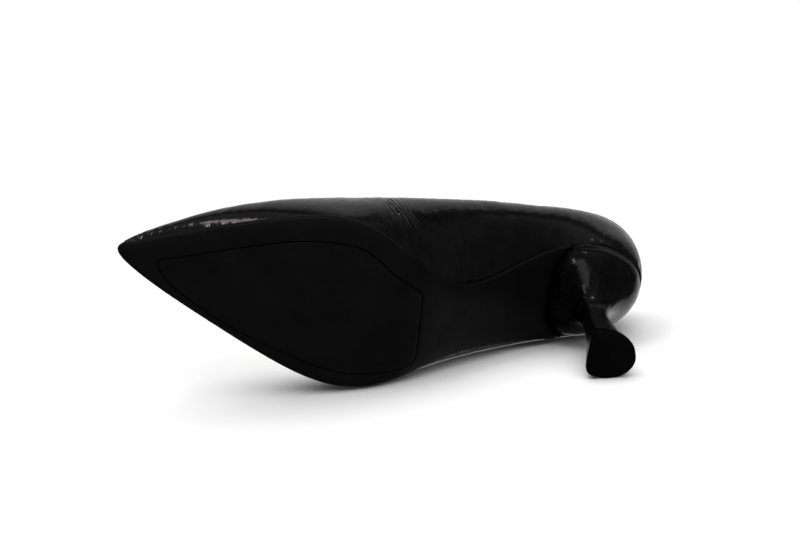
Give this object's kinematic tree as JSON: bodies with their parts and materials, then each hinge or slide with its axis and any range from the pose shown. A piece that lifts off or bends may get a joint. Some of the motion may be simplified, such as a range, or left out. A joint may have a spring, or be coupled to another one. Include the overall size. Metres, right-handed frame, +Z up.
{
  "type": "high heel pump",
  "caption": "Black patent pointed-toe court shoe for the right foot, low-cut topline, cemented sole with an inset tread panel and a covered flared heel.",
  "frame": {"origin": "on the ground, under the middle of the standing shoe's bounding box", "axes": "+Z up; the toe points towards -Y and the heel towards +Y; +X is the medial (inner) side of the right foot"},
  "size_m": [0.0839, 0.2498, 0.142],
  "materials": {
    "patent_leather_black": "crinkled patent, high gloss",
    "outsole_rubber_black": "smooth, satin",
    "tread_rubber_black": "fine texture, satin",
    "heel_cover_leather": "patent, high gloss",
    "heel_plastic": "moulded",
    "heel_tube_steel": "drawn tube",
    "top_piece_rubber": "matt",
    "pin_steel": "turned",
    "fibreboard": "pressed fibre",
    "spring_steel": "rolled strip",
    "cork_filler": "granular cork",
    "latex_foam": "soft foam",
    "sock_leather": "smooth lining leather",
    "thermoplastic_stiffener": "non-woven sheet",
    "cotton_interlining": "woven cotton",
    "lining_leather": "smooth lining leather",
    "heel_grip_suede": "suede",
    "fastener_steel": "plain steel"
  },
  "bodies": {
    "root": {"bottom_filler": "cork_filler", "breast_cover": "heel_cover_leather", "heel_block": "heel_plastic", "heel_counter": "thermoplastic_stiffener", "heel_cover": "heel_cover_leather", "heel_grip": "heel_grip_suede", "heel_nail_1": "fastener_steel", "heel_nail_2": "fastener_steel", "heel_nail_3": "fastener_steel", "heel_nail_4": "fastener_steel", "heel_screw": "fastener_steel", "heel_tube": "heel_tube_steel", "insole_board": "fibreboard", "interlining_lateral": "cotton_interlining", "interlining_medial": "cotton_interlining", "outsole": "outsole_rubber_black", "quarter_lining_lateral": "lining_leather", "quarter_lining_medial": "lining_leather", "shank_board": "fibreboard", "shank_rivet_front": "fastener_steel", "shank_rivet_rear": "fastener_steel", "sock_foam": "latex_foam", "sock_liner": "sock_leather", "steel_shank": "spring_steel", "toe_puff": "thermoplastic_stiffener", "top_piece": "top_piece_rubber", "top_piece_pin": "pin_steel", "topline_tape": "cotton_interlining", "tread_insert": "tread_rubber_black", "upper": "patent_leather_black", "vamp_lining": "lining_leather"}
  },
  "joints": []
}
